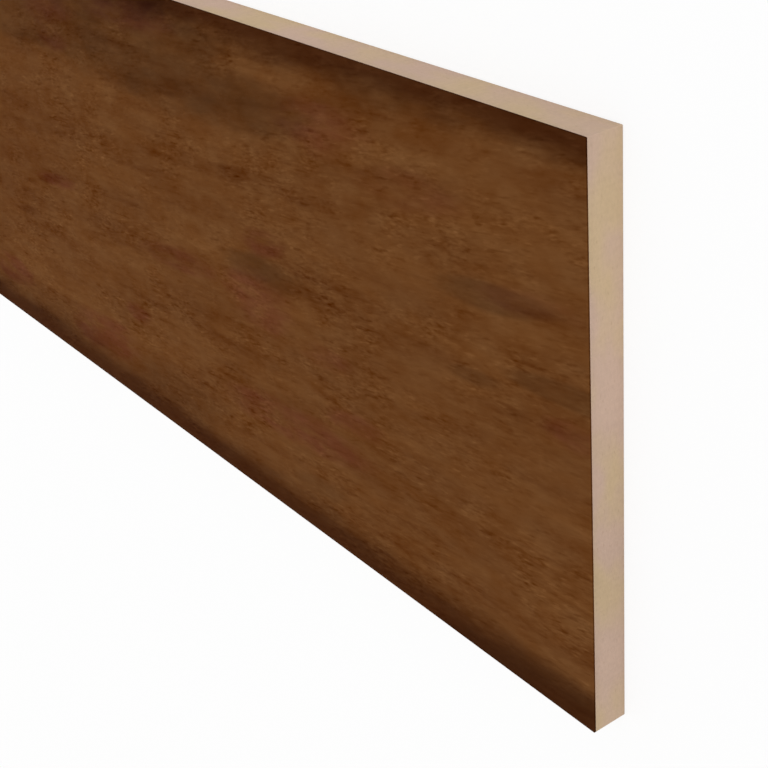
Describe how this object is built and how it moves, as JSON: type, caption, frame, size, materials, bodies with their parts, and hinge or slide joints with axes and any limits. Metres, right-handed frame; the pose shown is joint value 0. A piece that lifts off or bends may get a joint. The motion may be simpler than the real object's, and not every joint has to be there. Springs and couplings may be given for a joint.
{
  "type": "stair riser board",
  "caption": "Long flat stair riser board, a thin dark wood-look face on a bare fibreboard core, fixed upright to close the gap between one stair tread and the next.",
  "frame": {"origin": "middle of the board's back, on the floor that the board lies on", "axes": "+X along the length, +Y up the riser as fitted, from the edge on the lower tread to the edge under the upper tread, +Z out of the wood-look face"},
  "size_m": [1.1938, 0.1872, 0.0127],
  "materials": {
    "bare_fibreboard": "matte",
    "wood_look_laminate": "matte"
  },
  "bodies": {
    "root": {"mdf_core": "bare_fibreboard", "face_laminate": "wood_look_laminate"}
  },
  "joints": []
}
